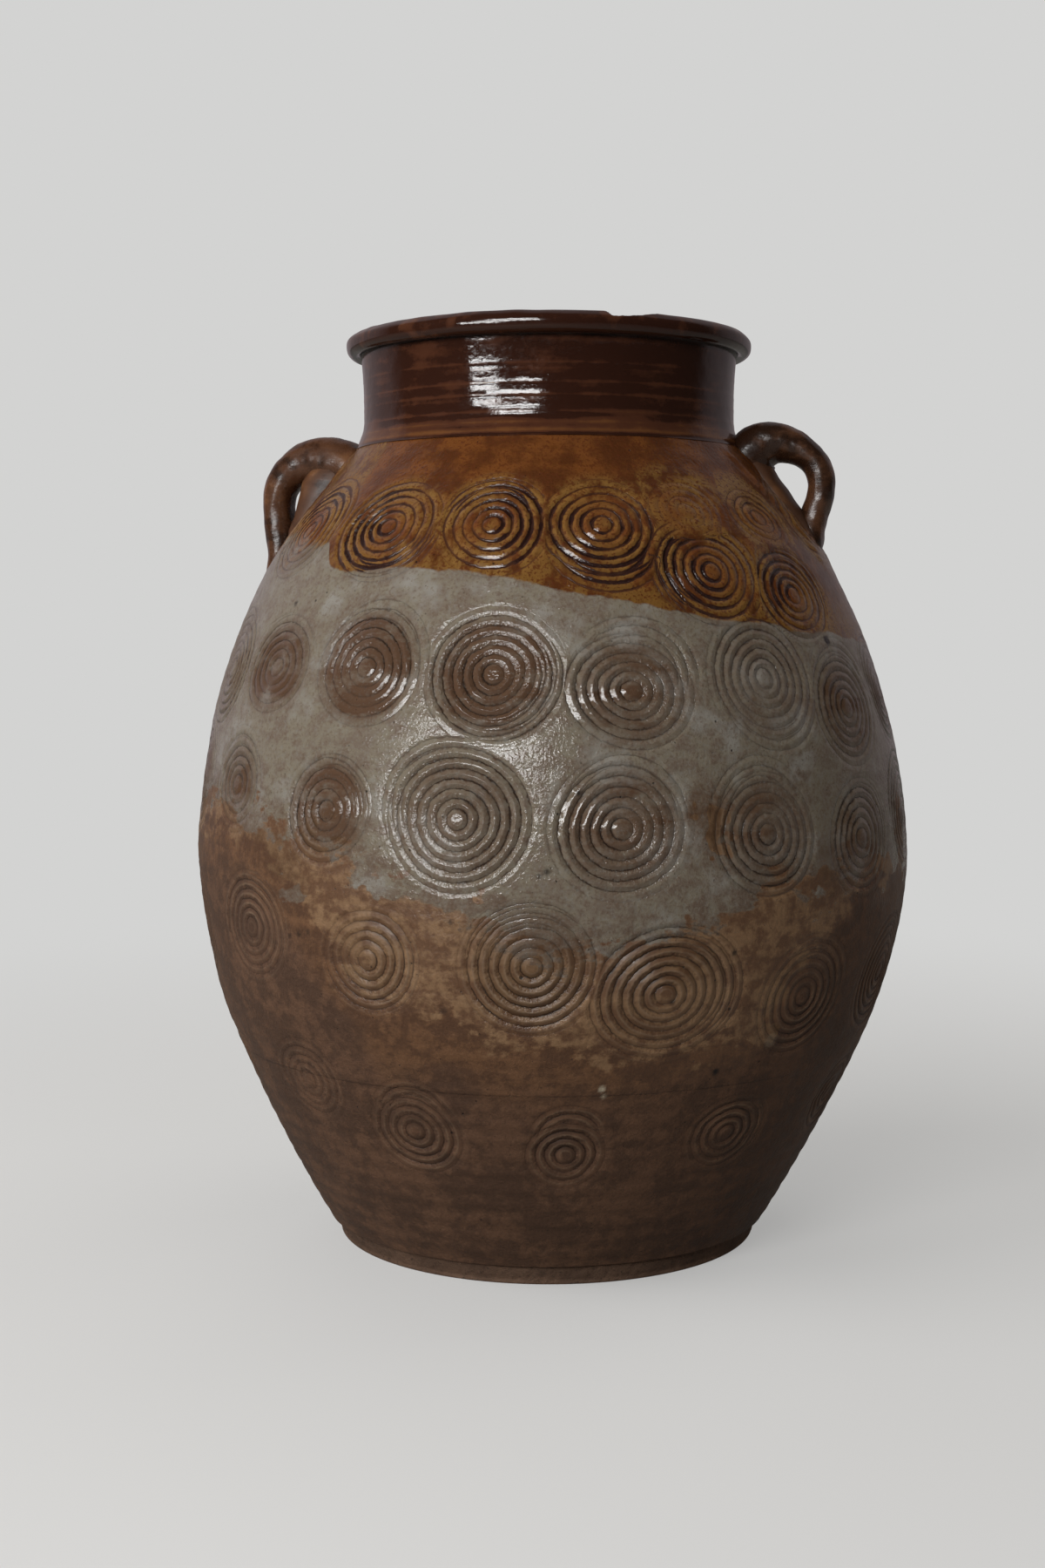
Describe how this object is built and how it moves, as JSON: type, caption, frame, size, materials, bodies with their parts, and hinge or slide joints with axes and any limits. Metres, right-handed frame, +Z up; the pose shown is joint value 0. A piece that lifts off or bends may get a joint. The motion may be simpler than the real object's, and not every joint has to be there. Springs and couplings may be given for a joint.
{
  "type": "storage jar",
  "caption": "Tall swelling stoneware storage jar on a flat foot, with a short waisted neck, a rolled rim and two loop lugs on the shoulder.",
  "frame": {"origin": "on the jar's axis, in the plane of the flat foot", "axes": "+Z up through the mouth, -Y towards the chipped side of the rim, +X towards the lug with the larger eye"},
  "size_m": [0.3969, 0.397, 0.5],
  "materials": {
    "bare_stoneware": "unglazed fired stoneware, matte",
    "ash_glaze": "thin grey ash glaze, satin",
    "amber_glaze": "amber iron glaze, glossy",
    "brown_glaze": "dark red-brown iron glaze, glossy"
  },
  "bodies": {
    "root": {"base_disc": "bare_stoneware", "foot_wall": "bare_stoneware", "lower_belly_wall": "ash_glaze", "upper_belly_wall": "ash_glaze", "shoulder_wall": "amber_glaze", "neck_collar": "brown_glaze", "rolled_rim": "brown_glaze", "right_lug_loop": "brown_glaze", "right_lug_pad": "brown_glaze", "left_lug_loop": "brown_glaze", "left_lug_pad": "brown_glaze"}
  },
  "joints": []
}
